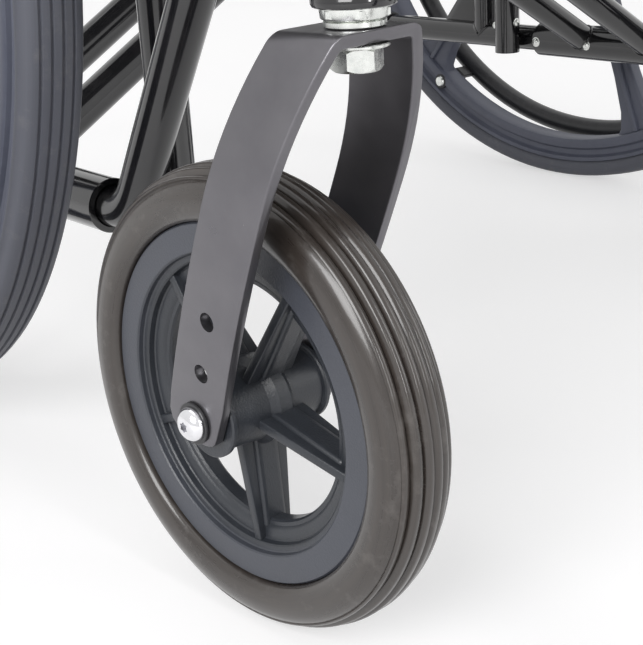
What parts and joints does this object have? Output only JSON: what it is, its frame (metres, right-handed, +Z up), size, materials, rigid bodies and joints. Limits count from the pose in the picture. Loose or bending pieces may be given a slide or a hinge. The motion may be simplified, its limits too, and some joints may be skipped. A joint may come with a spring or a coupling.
{
  "type": "bariatric wheelchair",
  "caption": "Folding self-propelled wheelchair with a wide sling seat, dual cross brace, solid casters in bent-plate forks, flip-back arms and swing-away footrests.",
  "frame": {"origin": "on the floor under the middle of the whole chair", "axes": "+Z up, +Y towards the rear, +X towards the chair's left side"},
  "size_m": [0.7922, 1.1572, 0.9212],
  "materials": {
    "frame_gloss_black": "gloss black powder coat",
    "satin_black_steel": "satin black coating",
    "moulded_wheel": "textured charcoal moulding",
    "moulded_black": "black moulding",
    "caster_rubber": "satin brown-grey rubber",
    "wheel_rubber": "dull grey rubber",
    "zinc_plate": "bright zinc plate",
    "chrome_plate": "polished chrome",
    "sling_fabric": "black coated nylon fabric",
    "pad_vinyl": "black vinyl over foam"
  },
  "bodies": {
    "frame_right": {"side_frame_right": "frame_gloss_black", "rear_axle_right": "zinc_plate", "seat_saddle_front_right": "moulded_black", "seat_saddle_rear_right": "moulded_black", "hand_grip_right": "moulded_black", "rail_cap_right": "moulded_black", "wheel_lock_bracket_right": "satin_black_steel", "arm_pivot_bolt_right": "zinc_plate", "back_upholstery": "sling_fabric"},
    "frame_left": {"side_frame_left": "frame_gloss_black", "rear_axle_left": "zinc_plate", "seat_saddle_front_left": "moulded_black", "seat_saddle_rear_left": "moulded_black", "hand_grip_left": "moulded_black", "rail_cap_left": "moulded_black", "wheel_lock_bracket_left": "satin_black_steel", "arm_pivot_bolt_left": "zinc_plate"},
    "brace_right": {"cross_brace_right": "frame_gloss_black", "brace_pivot_bolt": "zinc_plate", "brace_pivot_nut": "zinc_plate", "seat_upholstery": "sling_fabric"},
    "brace_left": {"cross_brace_left": "frame_gloss_black"},
    "caster_swivel_right": {"caster_fork_right": "satin_black_steel", "caster_stem_right": "zinc_plate", "caster_stem_nut_right": "zinc_plate", "caster_axle_right": "chrome_plate"},
    "caster_roll_right": {"caster_wheel_right": "moulded_wheel", "caster_tyre_right": "caster_rubber"},
    "rear_roll_right": {"rear_wheel_right": "moulded_wheel", "rear_tyre_right": "wheel_rubber", "hand_rim_right": "satin_black_steel"},
    "hanger_right": {"footrest_hanger_right": "frame_gloss_black", "footrest_post_right": "satin_black_steel"},
    "footplate_flap_right": {"footplate_right": "moulded_black"},
    "latch_right": {"footrest_latch_right": "satin_black_steel"},
    "arm_right": {"arm_frame_right": "frame_gloss_black", "arm_pad_right": "pad_vinyl", "skirt_guard_right": "moulded_black"},
    "lock_lever_right": {"wheel_lock_lever_right": "satin_black_steel"},
    "lock_shoe_right": {"wheel_lock_shoe_right": "zinc_plate"},
    "caster_swivel_left": {"caster_fork_left": "satin_black_steel", "caster_stem_left": "zinc_plate", "caster_stem_nut_left": "zinc_plate", "caster_axle_left": "chrome_plate"},
    "caster_roll_left": {"caster_wheel_left": "moulded_wheel", "caster_tyre_left": "caster_rubber"},
    "rear_roll_left": {"rear_wheel_left": "moulded_wheel", "rear_tyre_left": "wheel_rubber", "hand_rim_left": "satin_black_steel"},
    "hanger_left": {"footrest_hanger_left": "frame_gloss_black", "footrest_post_left": "satin_black_steel"},
    "footplate_flap_left": {"footplate_left": "moulded_black"},
    "latch_left": {"footrest_latch_left": "satin_black_steel"},
    "arm_left": {"arm_frame_left": "frame_gloss_black", "arm_pad_left": "pad_vinyl", "skirt_guard_left": "moulded_black"},
    "lock_lever_left": {"wheel_lock_lever_left": "satin_black_steel"},
    "lock_shoe_left": {"wheel_lock_shoe_left": "zinc_plate"}
  },
  "joints": [
    {"name": "fold", "type": "hinge", "parent": "frame_right", "child": "brace_right", "pos_m": [-0.2906, 0.14759, 0.139], "axis": [0, -1, 0], "range_deg": [0, 45.7], "deforming": ["seat_upholstery", "back_upholstery"]},
    {"name": "brace_cross", "type": "hinge", "parent": "brace_right", "child": "brace_left", "pos_m": [0, 0.17959, 0.3107], "axis": [0, -1, 0], "range_deg": [-91.4, 0]},
    {"name": "left_foot", "type": "hinge", "parent": "brace_left", "child": "frame_left", "pos_m": [0.2906, 0.14759, 0.139], "axis": [0, -1, 0], "range_deg": [0, 45.7]},
    {"name": "rear_wheel_spin_right", "type": "hinge", "parent": "frame_right", "child": "rear_roll_right", "pos_m": [-0.3506, 0.27359, 0.305], "axis": [1, 0, 0], "continuous": true},
    {"name": "caster_swivel_turn_right", "type": "hinge", "parent": "frame_right", "child": "caster_swivel_right", "pos_m": [-0.3406, -0.21241, 0.262], "axis": [0, 0, 1], "continuous": true},
    {"name": "caster_wheel_spin_right", "type": "hinge", "parent": "caster_swivel_right", "child": "caster_roll_right", "pos_m": [-0.34478, -0.14403, 0.1], "axis": [0.9981, 0.061, 0], "continuous": true},
    {"name": "hanger_swing_right", "type": "hinge", "parent": "frame_right", "child": "hanger_right", "pos_m": [-0.2906, -0.24341, 0.302], "axis": [0, 0, -1], "range_deg": [0, 90]},
    {"name": "footplate_flip_right", "type": "hinge", "parent": "hanger_right", "child": "footplate_flap_right", "pos_m": [-0.2906, -0.50359, 0.115], "axis": [0, -1, 0], "range_deg": [-90, 0]},
    {"name": "latch_lift_right", "type": "hinge", "parent": "hanger_right", "child": "latch_right", "pos_m": [-0.2791, -0.26541, 0.427], "axis": [-1, 0, 0], "range_deg": [0, 22], "stiffness_Nm_per_rad": 0.3, "springref_deg": -14.32},
    {"name": "arm_flip_right", "type": "hinge", "parent": "frame_right", "child": "arm_right", "pos_m": [-0.3171, 0.31959, 0.478], "axis": [-1, 0, 0], "range_deg": [0, 100]},
    {"name": "lock_lever_push_right", "type": "hinge", "parent": "frame_right", "child": "lock_lever_right", "pos_m": [-0.3386, -0.06241, 0.462], "axis": [1, 0, 0], "range_deg": [0, 46]},
    {"name": "lock_shoe_turn_right", "type": "hinge", "parent": "frame_right", "child": "lock_shoe_right", "pos_m": [-0.3086, -0.04041, 0.418], "axis": [-1, 0, 0], "range_deg": [0, 23]},
    {"name": "rear_wheel_spin_left", "type": "hinge", "parent": "frame_left", "child": "rear_roll_left", "pos_m": [0.3506, 0.27359, 0.305], "axis": [1, 0, 0], "continuous": true},
    {"name": "caster_swivel_turn_left", "type": "hinge", "parent": "frame_left", "child": "caster_swivel_left", "pos_m": [0.3406, -0.21241, 0.262], "axis": [0, 0, 1], "continuous": true},
    {"name": "caster_wheel_spin_left", "type": "hinge", "parent": "caster_swivel_left", "child": "caster_roll_left", "pos_m": [0.33642, -0.14403, 0.1], "axis": [0.9981, 0.061, 0], "continuous": true},
    {"name": "hanger_swing_left", "type": "hinge", "parent": "frame_left", "child": "hanger_left", "pos_m": [0.2906, -0.24341, 0.302], "axis": [0, 0, 1], "range_deg": [0, 90]},
    {"name": "footplate_flip_left", "type": "hinge", "parent": "hanger_left", "child": "footplate_flap_left", "pos_m": [0.2906, -0.50359, 0.115], "axis": [0, 1, 0], "range_deg": [-90, 0]},
    {"name": "latch_lift_left", "type": "hinge", "parent": "hanger_left", "child": "latch_left", "pos_m": [0.2791, -0.26541, 0.427], "axis": [-1, 0, 0], "range_deg": [0, 22], "stiffness_Nm_per_rad": 0.3, "springref_deg": -14.32},
    {"name": "arm_flip_left", "type": "hinge", "parent": "frame_left", "child": "arm_left", "pos_m": [0.3171, 0.31959, 0.478], "axis": [-1, 0, 0], "range_deg": [0, 100]},
    {"name": "lock_lever_push_left", "type": "hinge", "parent": "frame_left", "child": "lock_lever_left", "pos_m": [0.3386, -0.06241, 0.462], "axis": [1, 0, 0], "range_deg": [0, 46]},
    {"name": "lock_shoe_turn_left", "type": "hinge", "parent": "frame_left", "child": "lock_shoe_left", "pos_m": [0.3086, -0.04041, 0.418], "axis": [-1, 0, 0], "range_deg": [0, 23]}
  ],
  "couplings": [
    {"joint": "brace_cross", "follows": "fold", "ratio": -2},
    {"joint": "left_foot", "follows": "fold", "ratio": 1},
    {"joint": "lock_shoe_turn_right", "follows": "lock_lever_push_right", "ratio": 0.5},
    {"joint": "lock_shoe_turn_left", "follows": "lock_lever_push_left", "ratio": 0.5}
  ]
}
